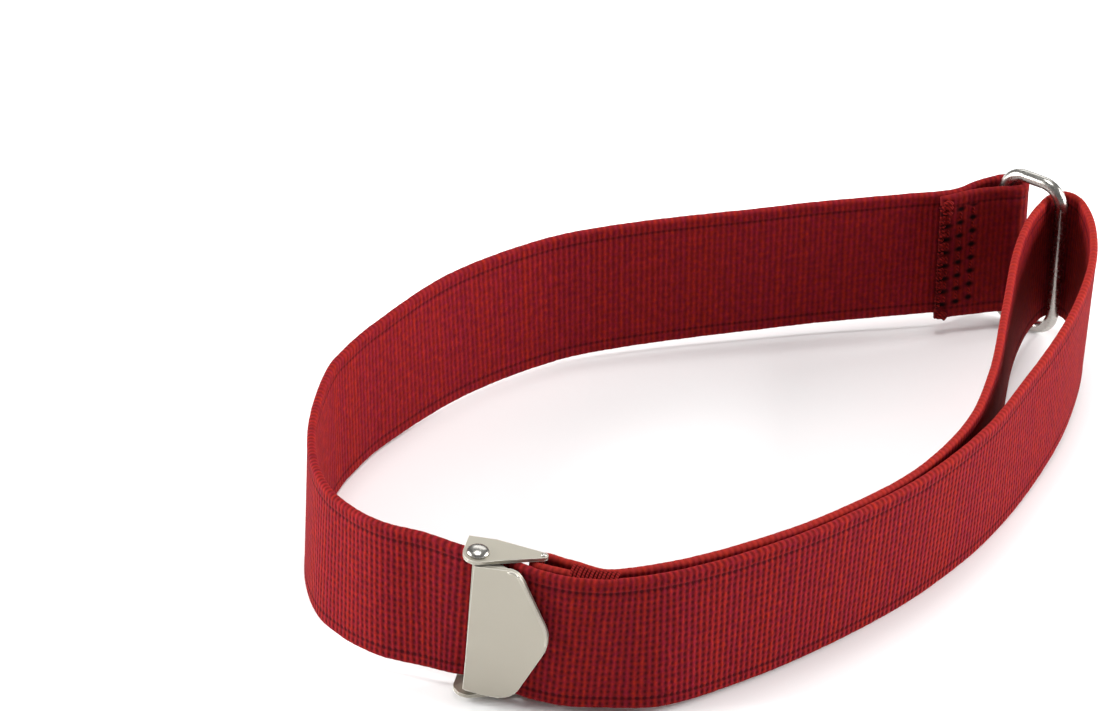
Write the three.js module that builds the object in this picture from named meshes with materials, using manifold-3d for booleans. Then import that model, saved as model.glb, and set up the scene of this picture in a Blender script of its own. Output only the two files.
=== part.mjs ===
// Shirt sleeve holder: a loop of woven elastic with a wire ring and a cam clip.
// One strip of elastic makes the whole band. One end is folded round the ring and sewn down. The strip then
// runs round the arm to the clip, through the clip, on to the ring, back through the ring, and ends in a
// fold round the clip's end bar. The clip grips the strip between its cam and its back plate.
// Millimetres, +Z up. The band stands on its lower edge, and x and y are the plan as it lies.
import * as THREE from 'three';
import { mergeVertices } from 'three/addons/utils/BufferGeometryUtils.js';
import Module from 'manifold-3d';

const wasm = await Module();
wasm.setup();

// Elastic strip
const BAND_WIDTH = 20;
const BAND_THICKNESS = 1.1;
const BAND_EDGE_BEVEL = 0.3;
const PLY_GAP = 0.2;
const PLY_PITCH = BAND_THICKNESS + PLY_GAP;
const STATION_SPACING = 2.6;
const ARC_STEP_DEG = 30;

// Wire ring
const RING_WIRE = 1.8;
const RING_BAR_SPACING = 9.5;
const RING_HEIGHT = 23.6;
const RING_CORNER = 3.2;
const RING_WIRE_SIDES = 12;
const RING_CENTRE = new THREE.Vector2(68.65, 7.95);
const RING_YAW_DEG = -40;
const RING_FLOOR_GAP = 0.02;

// Sewn fold round the ring
const RING_FOLD_REACH = 0.8;
const RING_FOLD_SPREAD = 0.35;
const RING_FOLD_RADIUS = RING_WIRE / 2 + 0.25 + RING_FOLD_SPREAD + BAND_THICKNESS / 2;
const RING_FOLD_RISE = 2.7;

// Clip: its frame, end bar, hinge pin and cam lever
const CLIP_PIVOT = new THREE.Vector3(-9.73, -81.2, 11.56);
const CLIP_YAW_DEG = -8;
const CLIP_LEAN_DEG = 4.5;
const CLIP_TILT_DEG = 2.7;
const SHEET = 0.5;
const EAR_INNER = 10.25;
const EAR_RADIUS = 1.85;
const EAR_BACK = 3.1;
const ANVIL_FRONT = EAR_BACK - SHEET;
const ANVIL_START = -1.2;
const ANVIL_END = 1.9;
const END_BAR = new THREE.Vector2(7.9, 1.35);
const END_BAR_RADIUS = 0.35;
const END_BAR_OVERHANG = 0.15;
const EAR_TIP_RADIUS = 0.55;
const PIN_RADIUS = 0.45;
const PIN_CLEARANCE = 0.15;
const PIN_HEAD_RADIUS = 1.4;
const PIN_HEAD_HEIGHT = 0.6;
const PIN_TAIL_RADIUS = 0.95;
const PIN_TAIL_HEIGHT = 0.25;
const BARREL_RADIUS = 0.95;
const NIP_DEPTH = BARREL_RADIUS + 0.275 + BAND_THICKNESS / 2;
const LEVER_TOP = 10;
const LEVER_BOTTOM = -9.8;
const LEVER_FRONT = -1.85;
const LEVER_SPLAY_DEG = -7;
const CLIP_FOLD_RADIUS = END_BAR_RADIUS + 0.3 + BAND_THICKNESS / 2;
const CLIP_TAIL_END = 12;

const rad = THREE.MathUtils.degToRad;

// Plan place of a point given in the clip's own directions: along the band, and inwards from the pivot.
const clipAlong = new THREE.Vector2(Math.cos(rad(CLIP_YAW_DEG)), Math.sin(rad(CLIP_YAW_DEG)));
const clipInward = new THREE.Vector2(-clipAlong.y, clipAlong.x);
const clipOver = clipAlong.clone()
  .multiplyScalar(Math.sin(rad(CLIP_LEAN_DEG)) * Math.cos(rad(CLIP_TILT_DEG)))
  .addScaledVector(clipInward, -Math.sin(rad(CLIP_TILT_DEG)))
  .multiplyScalar(BAND_WIDTH);

function besideClip(along, inward) {
  return new THREE.Vector2(CLIP_PIVOT.x, CLIP_PIVOT.y)
    .addScaledVector(clipAlong, along)
    .addScaledVector(clipInward, inward);
}

// A stop is one place on the strip's route: its plan point at half width, how high the lower edge is,
// and how far the upper edge stands over the lower one in plan.
function stop(point, rise, over = new THREE.Vector2()) {
  return { point, rise, over };
}

function clipStop(along, inward, rise) {
  return stop(besideClip(along, inward), rise, clipOver);
}

// Points of an arc from one angle to another, by even steps.
function arcStops(centre, radius, fromDeg, toDeg, rise, over) {
  const steps = Math.ceil(Math.abs(toDeg - fromDeg) / ARC_STEP_DEG);
  const stops = [];
  for (let i = 0; i <= steps; i += 1) {
    const angle = rad(fromDeg + ((toDeg - fromDeg) * i) / steps);
    const offset = new THREE.Vector2(Math.cos(angle), Math.sin(angle)).multiplyScalar(radius);
    stops.push(stop(offset.add(centre), rise, over));
  }
  return stops;
}

// Back and left of the loop, from the ring to the clip. Lean is how far the upper edge stands outwards
// of the lower one, away from the arm.
// x, y, rise, lean
const ARM_SIDE = [
  [57.4, 8.82, 2.4, 0],
  [51, 7.69, 2.3, 0.1],
  [39, 6.19, 1.95, 0.1],
  [27.3, 4.17, 1.6, 0.1],
  [15.6, 2.11, 1.25, 0.4],
  [4, -0.8, 0.9, 0.6],
  [-2.1, -3.38, 0.6, 0.85],
  [-13.55, -11.76, 0.4, 0.95],
  [-24.1, -24.58, 0, 0],
  [-26, -27.75, 0, 0],
  [-27.65, -31.03, 0, 0],
  [-29.15, -34.58, 0, 0],
  [-31.3, -46.04, 0, -0.8],
  [-31.1, -56.94, 0.3, -1.2],
  [-29, -64.94, 0.75, -1.4],
  [-26.25, -69.47, 1.1, -1.1],
  [-21.65, -74.5, 1.8, -0.65],
  [-15.85, -77.25, 2, -0.3],
];

// Passage through the clip, in the clip's own directions.
// along, inward, rise
const CLIP_SIDE = [
  [-1.6, NIP_DEPTH, 1.75],
  [1.6, NIP_DEPTH, 1.5],
  [4.2, 0.35, 1.4],
  [6, -0.75, 1.5],
];

// Doubled stretch beside the clip, where the end fold lies between the two plies. The last column is
// the distance from the outer ply to the returning one.
// along, inward, rise, ply distance
const FOLD_SIDE = [
  [END_BAR.x, END_BAR.y - CLIP_FOLD_RADIUS - PLY_PITCH - 0.1, 1.2, 2 * CLIP_FOLD_RADIUS + PLY_PITCH + 0.1],
  [10.8, -1.65, 0.95, 2 * PLY_PITCH + 0.8],
  [CLIP_TAIL_END + 0.2, -1.7, 0.85, 2 * PLY_PITCH + 0.7],
  [14.2, -1.55, 0.75, PLY_PITCH + 1.3],
  [16.5, -1.25, 0.7, PLY_PITCH + 0.8],
];

// Doubled stretch from the clip to the ring.
// x, y, rise, lean, ply distance
const FRONT_SIDE = [
  [13.3, -84.02, 0.7, 0.15, 2.05],
  [23.6, -79.03, 0.5, 0.8, 1.85],
  [34.1, -71.98, 0.3, 1.3, 1.52],
  [45.1, -62.51, 0, 1.5, 1.5],
  [50.7, -56.49, 0, 1.35, 1.9],
  [56.55, -48.89, 0, 0.95, 2.8],
  [62.6, -38.69, 0.25, 0.2, 4.85],
  [69.7, -24.62, 1, 0.35, 8.7],
  [74.3, -10.97, 2, 0.65, 10.2],
];

// The slack turn through the ring.
// x, y, rise, upper edge over lower in x, and in y
const TURN = [
  [75.35, -3.5, 2.4, 0.8, -0.1],
  [75.35, 2, 2.6, 0.7, 0.2],
  [74.5, 6, 2.7, 0.4, 0.5],
  [73, 7.4, 2.7, 0.2, 0.5],
  [71, 6.6, 2.7, 0, 0.3],
  [69.3, 4.2, 2.7, 0, 0],
  [67.75, 1.3, 2.65, 0, 0],
  [65.95, -3.5, 2.6, 0, 0],
];

// The ring's left bar carries the sewn fold.
const ringAlong = new THREE.Vector2(Math.cos(rad(RING_YAW_DEG)), Math.sin(rad(RING_YAW_DEG)));
const ringFoldBar = RING_CENTRE.clone().addScaledVector(ringAlong, -RING_BAR_SPACING / 2);

// Sewn tail from its cut end, then the fold round the ring. The near ply slants: its lower edge stands
// nearer to the arm than its upper one.
function ringFoldStops() {
  const slant = new THREE.Vector2(0, 4 * RING_FOLD_SPREAD);
  const centre = ringFoldBar.clone().add(new THREE.Vector2(RING_FOLD_REACH, -RING_FOLD_SPREAD));
  const near = centre.y - RING_FOLD_RADIUS;
  const far = centre.y + RING_FOLD_RADIUS;
  const fold = arcStops(centre, RING_FOLD_RADIUS, -90, 90, RING_FOLD_RISE, slant);
  fold.forEach((row, i) => {
    row.over = slant.clone().multiplyScalar(1 - i / (fold.length - 1));
  });
  return [
    stop(new THREE.Vector2(56.1, 6.65), RING_FOLD_RISE - 0.25, slant.clone().multiplyScalar(0.3)),
    stop(new THREE.Vector2(60.4, 7.9), RING_FOLD_RISE - 0.1, slant),
    stop(new THREE.Vector2(ringFoldBar.x - 0.4, near), RING_FOLD_RISE, slant),
    ...fold,
    stop(new THREE.Vector2(ringFoldBar.x - 0.4, far), RING_FOLD_RISE),
    stop(new THREE.Vector2(61.3, 11.2), RING_FOLD_RISE - 0.1),
  ];
}

// Gives each stop its outward direction, and its lean along it. Outwards is to the right of the run.
function setLean(stops, before, after) {
  const points = [before, ...stops, after].map(({ point }) => point);
  stops.forEach((row, i) => {
    const run = points[i + 2].clone().sub(points[i]).normalize();
    row.side = new THREE.Vector2(run.y, -run.x);
    if (row.lean !== undefined) {
      row.over = row.side.clone().multiplyScalar(row.lean);
    }
  });
}

// The returning ply lies inside the outer one, and stands upright where it is far from it.
function returningStops(doubled) {
  return doubled.map(({ point, side, rise, over, apart }) => {
    const uprightness = THREE.MathUtils.clamp((apart - 2) / 6, 0, 1);
    const place = point.clone().addScaledVector(side, -apart);
    return stop(place, rise, over.clone().multiplyScalar(1 - uprightness));
  }).reverse();
}

// The fold round the clip's end bar, from the returning ply to the free tail between the plies.
function clipFoldStops() {
  const centre = besideClip(END_BAR.x, END_BAR.y);
  const [, , barRise] = FOLD_SIDE[0];
  const fold = arcStops(
    centre,
    CLIP_FOLD_RADIUS,
    90 + CLIP_YAW_DEG,
    270 + CLIP_YAW_DEG,
    barRise,
    clipOver,
  );
  const tail = FOLD_SIDE.slice(1, 3).map(([along, inward, rise]) => (
    clipStop(Math.min(along, CLIP_TAIL_END), inward + PLY_PITCH + 0.12, rise)
  ));
  return [
    ...fold,
    ...tail,
  ];
}

// The whole route, from the sewn tail at the ring to the free tail at the clip.
function bandRoute() {
  const ringFold = ringFoldStops();
  const arm = ARM_SIDE.map(([x, y, rise, lean]) => ({ ...stop(new THREE.Vector2(x, y), rise), lean }));
  const nip = CLIP_SIDE.map(([along, inward, rise]) => clipStop(along, inward, rise));
  const doubled = FOLD_SIDE.map(([along, inward, rise, apart]) => (
    { ...clipStop(along, inward, rise), apart }
  ));
  FRONT_SIDE.forEach(([x, y, rise, lean, apart]) => {
    doubled.push({ ...stop(new THREE.Vector2(x, y), rise), lean, apart });
  });
  const turn = TURN.map(([x, y, rise, overX, overY]) => (
    stop(new THREE.Vector2(x, y), rise, new THREE.Vector2(overX, overY))
  ));
  setLean(arm, ringFold.at(-1), nip[0]);
  setLean(doubled, nip.at(-1), turn[0]);
  const back = returningStops(doubled).slice(0, -1);
  return [...ringFold, ...arm, ...nip, ...doubled, ...turn, ...back, ...clipFoldStops()];
}

// Sections of the strip, each an eight-sided outline with bevelled edges, at stations along the route.
// Its points run anticlockwise as seen by one who looks back along the route.
function bandSections() {
  const route = bandRoute();
  const plan = new THREE.CatmullRomCurve3(
    route.map(({ point }) => new THREE.Vector3(point.x, point.y, 0)),
    false,
    'centripetal',
  );
  const stand = new THREE.CatmullRomCurve3(
    route.map(({ over, rise }) => new THREE.Vector3(over.x, over.y, rise)),
    false,
    'catmullrom',
    0.3,
  );
  const stations = [];
  for (let i = 0; i < route.length - 1; i += 1) {
    const length = route[i].point.distanceTo(route[i + 1].point);
    const steps = Math.max(1, Math.ceil(length / STATION_SPACING));
    for (let k = 0; k < steps; k += 1) {
      stations.push((i + k / steps) / (route.length - 1));
    }
  }
  stations.push(1);
  const half = BAND_THICKNESS / 2;
  const flat = half - BAND_EDGE_BEVEL;
  const outline = [
    [flat, 0],
    [-flat, 0],
    [-half, BAND_EDGE_BEVEL],
    [-half, BAND_WIDTH - BAND_EDGE_BEVEL],
    [-flat, BAND_WIDTH],
    [flat, BAND_WIDTH],
    [half, BAND_WIDTH - BAND_EDGE_BEVEL],
    [half, BAND_EDGE_BEVEL],
  ];
  return stations.map((t) => {
    const point = plan.getPoint(t);
    const run = plan.getTangent(t);
    const { x: overX, y: overY, z: rise } = stand.getPoint(t);
    const over = new THREE.Vector3(overX, overY, 0);
    const height = Math.sqrt(BAND_WIDTH ** 2 - over.lengthSq());
    const lift = (flat * over.length()) / BAND_WIDTH;
    const foot = point.clone().addScaledVector(over, -0.5).setZ(Math.max(0, rise) + lift);
    const up = over.clone().setZ(height).divideScalar(BAND_WIDTH);
    const side = new THREE.Vector3().crossVectors(run, up).normalize();
    return outline.map(([across, high]) => (
      foot.clone().addScaledVector(side, across).addScaledVector(up, high)
    ));
  });
}

// Closed surface through a row of sections with equal point counts. A joined row closes on itself,
// and an open one gets a flat cap at each end.
function sweep(sections, joined) {
  const sides = sections[0].length;
  const positions = sections.flat().flatMap((p) => [p.x, p.y, p.z]);
  const index = [];
  const spans = joined ? sections.length : sections.length - 1;
  for (let i = 0; i < spans; i += 1) {
    const here = i * sides;
    const there = ((i + 1) % sections.length) * sides;
    for (let k = 0; k < sides; k += 1) {
      const next = (k + 1) % sides;
      index.push(here + k, here + next, there + next);
      index.push(here + k, there + next, there + k);
    }
  }
  if (!joined) {
    const last = (sections.length - 1) * sides;
    for (let k = 1; k < sides - 1; k += 1) {
      index.push(0, k + 1, k);
      index.push(last, last + k, last + k + 1);
    }
  }
  const geometry = new THREE.BufferGeometry();
  geometry.setAttribute('position', new THREE.Float32BufferAttribute(positions, 3));
  geometry.setIndex(index);
  return geometry;
}

// Round wire bent to a standing rectangle with rounded corners.
function ringGeometry() {
  const halfSpan = RING_BAR_SPACING / 2 - RING_CORNER;
  const halfRise = RING_HEIGHT / 2 - RING_CORNER;
  const corners = [
    [halfSpan, halfRise, 0],
    [-halfSpan, halfRise, 90],
    [-halfSpan, -halfRise, 180],
    [halfSpan, -halfRise, 270],
  ];
  const cornerSteps = 5;
  const sections = [];
  corners.forEach(([x, z, startDeg]) => {
    for (let i = 0; i <= cornerSteps; i += 1) {
      const turn = rad(startDeg + (90 * i) / cornerSteps);
      const out = new THREE.Vector3(Math.cos(turn), 0, Math.sin(turn));
      const centre = new THREE.Vector3(x, 0, z).addScaledVector(out, RING_CORNER);
      const section = [];
      for (let k = 0; k < RING_WIRE_SIDES; k += 1) {
        const around = (2 * Math.PI * k) / RING_WIRE_SIDES;
        section.push(centre.clone()
          .addScaledVector(out, (RING_WIRE / 2) * Math.cos(around))
          .add(new THREE.Vector3(0, (RING_WIRE / 2) * Math.sin(around), 0)));
      }
      sections.push(section);
    }
  });
  return sweep(sections, true);
}

// Solids are joined and cut with their vertices merged.
function toSolid(geometry) {
  const bare = geometry.clone();
  bare.deleteAttribute('normal');
  bare.deleteAttribute('uv');
  const merged = mergeVertices(bare, 1e-4);
  return new wasm.Manifold(new wasm.Mesh({
    numProp: 3,
    vertProperties: new Float32Array(merged.attributes.position.array),
    triVerts: new Uint32Array(merged.index.array),
  }));
}

function fromSolid(solid) {
  const { vertProperties, triVerts } = solid.getMesh();
  const geometry = new THREE.BufferGeometry();
  geometry.setAttribute('position', new THREE.BufferAttribute(vertProperties, 3));
  geometry.setIndex(new THREE.BufferAttribute(triVerts, 1));
  geometry.computeVertexNormals();
  return geometry;
}

function joinAll(geometries) {
  return geometries.map(toSolid).reduce((whole, piece) => whole.add(piece));
}

// Sheet of an outline in the clip's plan, from one height to another along the hinge axis.
function sheetAcross(shape, from, to) {
  const options = { depth: to - from, bevelEnabled: false, curveSegments: 8 };
  const geometry = new THREE.ExtrudeGeometry(shape, options);
  return geometry.translate(0, 0, from);
}

// Round bar along the hinge axis.
function barAcross(radius, from, to, x, y) {
  const geometry = new THREE.CylinderGeometry(radius, radius, to - from, 16);
  return geometry.rotateX(Math.PI / 2).translate(x, y, (from + to) / 2);
}

// One ear of the frame, seen along the hinge axis: round at the pivot, tapering to the end bar.
function earShape() {
  const shape = new THREE.Shape();
  shape.moveTo(-EAR_RADIUS, 0);
  shape.absarc(0, 0, EAR_RADIUS, Math.PI, rad(295), false);
  shape.lineTo(3.25, -0.8);
  shape.absarc(END_BAR.x, END_BAR.y, EAR_TIP_RADIUS, rad(-70), rad(60), false);
  shape.lineTo(6.3, 2.2);
  shape.lineTo(ANVIL_END, EAR_BACK);
  shape.lineTo(-1.6, EAR_BACK);
  shape.closePath();
  const hole = new THREE.Path();
  hole.absarc(0, 0, PIN_RADIUS + PIN_CLEARANCE, 0, 2 * Math.PI, true);
  shape.holes.push(hole);
  return shape;
}

// The clip's frame: two ears, the back plate that the band is pressed on, and the end bar.
function frameGeometry() {
  const earOuter = EAR_INNER + SHEET;
  const barEnd = earOuter + END_BAR_OVERHANG;
  const anvil = new THREE.BoxGeometry(ANVIL_END - ANVIL_START, SHEET, 2 * earOuter);
  anvil.translate((ANVIL_START + ANVIL_END) / 2, ANVIL_FRONT + SHEET / 2, 0);
  return fromSolid(joinAll([
    sheetAcross(earShape(), EAR_INNER, earOuter),
    sheetAcross(earShape(), -earOuter, -EAR_INNER),
    anvil,
    barAcross(END_BAR_RADIUS, -barEnd, barEnd, END_BAR.x, END_BAR.y),
  ]));
}

// Profile of a low dome outside an ear, from its crown to its rim.
function domeProfile(radius, seat, height) {
  const steps = 5;
  const profile = [];
  for (let i = 0; i <= steps; i += 1) {
    const angle = (Math.PI / 2) * (i / steps);
    profile.push(new THREE.Vector2(radius * Math.sin(angle), seat + height * Math.cos(angle)));
  }
  return profile;
}

// The hinge pin, with a domed head above the upper ear and a smaller riveted end under the lower one.
function pinGeometry() {
  const seat = EAR_INNER + SHEET + PIN_CLEARANCE;
  const head = domeProfile(PIN_HEAD_RADIUS, seat, PIN_HEAD_HEIGHT).reverse();
  const tail = domeProfile(PIN_TAIL_RADIUS, seat, PIN_TAIL_HEIGHT);
  tail.forEach((p) => p.setY(-p.y));
  const shank = [new THREE.Vector2(PIN_RADIUS, -seat), new THREE.Vector2(PIN_RADIUS, seat)];
  return new THREE.LatheGeometry([...tail, ...shank, ...head], 20).rotateX(Math.PI / 2);
}

// Front plate of the lever, seen from outside: along the band, and up the hinge axis.
function plateShape() {
  const shape = new THREE.Shape();
  shape.moveTo(-0.1, LEVER_TOP);
  shape.lineTo(3.9, LEVER_TOP + 0.3);
  shape.quadraticCurveTo(5.4, LEVER_TOP + 0.4, 6.2, 9.2);
  shape.lineTo(9.3, 3.2);
  shape.quadraticCurveTo(10.4, 1.1, 9.3, -1.1);
  shape.lineTo(6.6, -7.2);
  shape.quadraticCurveTo(5.7, -9.1, 3.9, -9.3);
  shape.quadraticCurveTo(1.8, -9.6, -0.1, LEVER_BOTTOM + 0.5);
  shape.closePath();
  return shape;
}

// Side lug of the lever, from the plate back to the hinge.
function lugShape() {
  const shape = new THREE.Shape();
  shape.moveTo(-0.35, LEVER_FRONT + 0.2);
  shape.lineTo(4.1, LEVER_FRONT - 0.35);
  shape.lineTo(4.1, -1.3);
  shape.lineTo(1.1, 0.2);
  shape.lineTo(0.6, 0.7);
  shape.lineTo(-0.6, 0.7);
  shape.lineTo(-BARREL_RADIUS, 0);
  shape.closePath();
  return shape;
}

// The lever: front plate, side lugs, the web behind its straight edge, and the barrel on the hinge pin.
function leverGeometry() {
  const options = { depth: SHEET, bevelEnabled: false, curveSegments: 6 };
  const plate = new THREE.ExtrudeGeometry(plateShape(), options);
  plate.rotateX(Math.PI / 2).translate(0, SHEET, 0);
  plate.rotateZ(rad(LEVER_SPLAY_DEG)).translate(0, LEVER_FRONT, 0);
  const webHeight = LEVER_TOP - LEVER_BOTTOM;
  const web = new THREE.BoxGeometry(SHEET, -LEVER_FRONT - 0.7, webHeight - 0.2);
  web.translate(0.15, (LEVER_FRONT - 0.3) / 2, (LEVER_TOP + LEVER_BOTTOM) / 2);
  const solid = joinAll([
    plate,
    sheetAcross(lugShape(), LEVER_TOP - SHEET, LEVER_TOP),
    sheetAcross(lugShape(), LEVER_BOTTOM, LEVER_BOTTOM + SHEET),
    web,
    barAcross(BARREL_RADIUS, LEVER_BOTTOM, LEVER_TOP, 0, 0),
  ]);
  const bore = toSolid(barAcross(PIN_RADIUS + PIN_CLEARANCE, LEVER_BOTTOM - 1, LEVER_TOP + 1, 0, 0));
  return fromSolid(solid.subtract(bore));
}

const elastic = new THREE.MeshStandardMaterial({ color: 0x9b2024, roughness: 0.85, metalness: 0 });
const ringSteel = new THREE.MeshStandardMaterial({ color: 0xd8d8da, roughness: 0.15, metalness: 1 });
const frameSteel = new THREE.MeshStandardMaterial({ color: 0xbcb8aa, roughness: 0.3, metalness: 1 });
const leverSteel = new THREE.MeshStandardMaterial({ color: 0xc2beb0, roughness: 0.35, metalness: 1 });
const pinSteel = new THREE.MeshStandardMaterial({ color: 0xdcdcd8, roughness: 0.18, metalness: 1 });

function piece(name, geometry, material) {
  const mesh = new THREE.Mesh(geometry, material);
  mesh.name = name;
  return mesh;
}

const sleeveHolder = new THREE.Group();
const band = sweep(bandSections(), false);
band.computeVertexNormals();
sleeveHolder.add(piece('elastic_band', band, elastic));

const ring = piece('ring', ringGeometry(), ringSteel);
ring.geometry.computeVertexNormals();
ring.position.set(RING_CENTRE.x, RING_CENTRE.y, (RING_HEIGHT + RING_WIRE) / 2 + RING_FLOOR_GAP);
ring.rotation.z = rad(RING_YAW_DEG);
sleeveHolder.add(ring);

const clip = new THREE.Group();
clip.position.copy(CLIP_PIVOT);
clip.rotation.set(rad(CLIP_TILT_DEG), rad(CLIP_LEAN_DEG), rad(CLIP_YAW_DEG), 'ZYX');
clip.add(piece('clip_frame', frameGeometry(), frameSteel));
clip.add(piece('hinge_pin', pinGeometry(), pinSteel));
clip.add(piece('clip_lever', leverGeometry(), leverSteel));
sleeveHolder.add(clip);

// The origin is on the surface that the band stands on, at the middle of its plan box.
sleeveHolder.updateMatrixWorld(true);
const middle = new THREE.Box3().setFromObject(sleeveHolder, true).getCenter(new THREE.Vector3());
sleeveHolder.position.set(-middle.x, -middle.y, 0);

export default sleeveHolder;
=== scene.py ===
import math
import random

import bmesh
import bpy
import numpy as np
from mathutils import Matrix, Vector


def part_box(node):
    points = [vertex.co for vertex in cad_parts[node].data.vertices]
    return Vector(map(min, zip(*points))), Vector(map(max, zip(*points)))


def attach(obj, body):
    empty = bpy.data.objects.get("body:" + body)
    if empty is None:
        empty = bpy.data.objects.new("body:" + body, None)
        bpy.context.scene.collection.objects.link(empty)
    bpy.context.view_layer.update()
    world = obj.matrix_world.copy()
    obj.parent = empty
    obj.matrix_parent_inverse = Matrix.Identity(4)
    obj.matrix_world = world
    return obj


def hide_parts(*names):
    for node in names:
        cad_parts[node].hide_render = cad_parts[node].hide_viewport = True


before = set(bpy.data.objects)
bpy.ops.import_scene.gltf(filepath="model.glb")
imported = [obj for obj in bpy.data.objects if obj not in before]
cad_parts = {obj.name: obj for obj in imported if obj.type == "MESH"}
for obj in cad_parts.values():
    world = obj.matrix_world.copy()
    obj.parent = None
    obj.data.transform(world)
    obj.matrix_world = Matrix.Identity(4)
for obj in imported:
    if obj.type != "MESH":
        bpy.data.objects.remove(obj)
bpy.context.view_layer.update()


# Elastic band
# One strip of rib-woven elastic, red yarn over rubber cores, 20 mm wide with a rolled selvedge on
# each edge. It is sewn round the ring, runs round the arm through the clip, turns back through the
# ring and folds round the clip's end bar. Sizes are in mm, in the plan of the CAD part.
MM = 0.001
BAND_WIDTH = 20
BAND_THICKNESS = 1.1
PLY_PITCH = BAND_THICKNESS + 0.2
RIB_PITCH = 0.82
STATION = 0.5
LEAN_SINK = 0.3

RING_WIRE = 1.8
RING_BAR_SPACING = 9.5
RING_CENTRE = np.array([68.65, 7.95])
RING_YAW = math.radians(-40)
RING_FOLD_REACH = 0.8
RING_FOLD_SPREAD = 0.35
RING_FOLD_RADIUS = RING_WIRE / 2 + 0.25 + RING_FOLD_SPREAD + BAND_THICKNESS / 2
RING_FOLD_RISE = 2.7
RING_FOLD_STRAIGHT = 0.4

CLIP_PIVOT = np.array([-9.73, -81.2])
CLIP_HEIGHT = 11.56
CLIP_YAW = math.radians(-8)
CLIP_LEAN = math.radians(4.5)
CLIP_TILT = math.radians(2.7)
END_BAR = (7.9, 1.35)
END_BAR_RADIUS = 0.35
NIP_DEPTH = 0.95 + 0.275 + BAND_THICKNESS / 2
CLIP_FOLD_RADIUS = END_BAR_RADIUS + 0.3 + BAND_THICKNESS / 2
CLIP_TAIL_END = 12
CLIP_TAIL_GAP = 0.12

clip_along = np.array([math.cos(CLIP_YAW), math.sin(CLIP_YAW)])
clip_inward = np.array([-clip_along[1], clip_along[0]])
clip_over = BAND_WIDTH * (clip_along * math.sin(CLIP_LEAN) * math.cos(CLIP_TILT)
                          - clip_inward * math.sin(CLIP_TILT))
ring_along = np.array([math.cos(RING_YAW), math.sin(RING_YAW)])
ring_fold_bar = RING_CENTRE - ring_along * RING_BAR_SPACING / 2

# x, y, rise, lean outwards
ARM_SIDE = [
    (57.4, 8.82, 2.4, 0), (51, 7.69, 2.3, 0.1), (39, 6.19, 1.95, 0.1), (27.3, 4.17, 1.6, 0.1),
    (15.6, 2.11, 1.25, 0.4), (4, -0.8, 0.9, 0.6), (-2.1, -3.38, 0.6, 0.85), (-13.55, -11.76, 0.4, 0.95),
    (-24.1, -24.58, 0, 0), (-26, -27.75, 0, 0), (-27.65, -31.03, 0, 0), (-29.15, -34.58, 0, 0),
    (-31.3, -46.04, 0, -0.8), (-31.1, -56.94, 0.3, -1.2), (-29, -64.94, 0.75, -1.4),
    (-26.25, -69.47, 1.1, -1.1), (-21.65, -74.5, 1.8, -0.65), (-15.85, -77.25, 2, -0.3),
]
# along the clip, inwards from its pivot, rise
CLIP_SIDE = [(-1.6, NIP_DEPTH, 1.75), (1.6, NIP_DEPTH, 1.5), (4.2, 0.35, 1.4), (6, -0.75, 1.5)]
# along, inwards, rise, distance to the returning ply
FOLD_SIDE = [
    (END_BAR[0], END_BAR[1] - CLIP_FOLD_RADIUS - PLY_PITCH - 0.1, 1.2,
     2 * CLIP_FOLD_RADIUS + PLY_PITCH + 0.1),
    (10.8, -1.65, 0.95, 2 * PLY_PITCH + 0.8),
    (CLIP_TAIL_END + 0.2, -1.7, 0.85, 2 * PLY_PITCH + 0.7),
    (14.2, -1.55, 0.75, PLY_PITCH + 1.3),
    (16.5, -1.25, 0.7, PLY_PITCH + 0.8),
]
# x, y, rise, lean, distance to the returning ply
FRONT_SIDE = [
    (13.3, -84.02, 0.7, 0.15, 2.05), (23.6, -79.03, 0.5, 0.8, 1.85), (34.1, -71.98, 0.3, 1.3, 1.52),
    (45.1, -62.51, 0, 1.5, 1.5), (50.7, -56.49, 0, 1.35, 1.9), (56.55, -48.89, 0, 0.95, 2.8),
    (62.6, -38.69, 0.25, 0.2, 4.85), (69.7, -24.62, 1, 0.35, 8.7), (74.3, -10.97, 2, 0.65, 10.2),
]
# x, y, rise, upper edge over the lower in x and in y
TURN = [
    (75.35, -3.5, 2.4, 0.8, -0.1), (75.35, 2, 2.6, 0.7, 0.2), (74.5, 6, 2.7, 0.4, 0.5),
    (73, 7.4, 2.7, 0.2, 0.5), (71, 6.6, 2.7, 0, 0.3), (69.3, 4.2, 2.7, 0, 0),
    (67.75, 1.3, 2.65, 0, 0), (65.95, -3.5, 2.6, 0, 0),
]


def beside_clip(along, inward):
    return CLIP_PIVOT + clip_along * along + clip_inward * inward


def stop(point, rise, over=(0, 0)):
    """A place on the route: its plan, the lower edge's height, and how far the upper edge stands over."""
    return [np.array(point, float), rise, np.array(over, float)]


def arc_stops(centre, radius, start, end, rise, over):
    steps = math.ceil(abs(end - start) / math.radians(30) - 1e-9)
    turns = [start + (end - start) * i / steps for i in range(steps + 1)]
    return [stop(centre + radius * np.array([math.cos(t), math.sin(t)]), rise, over) for t in turns]


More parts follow.
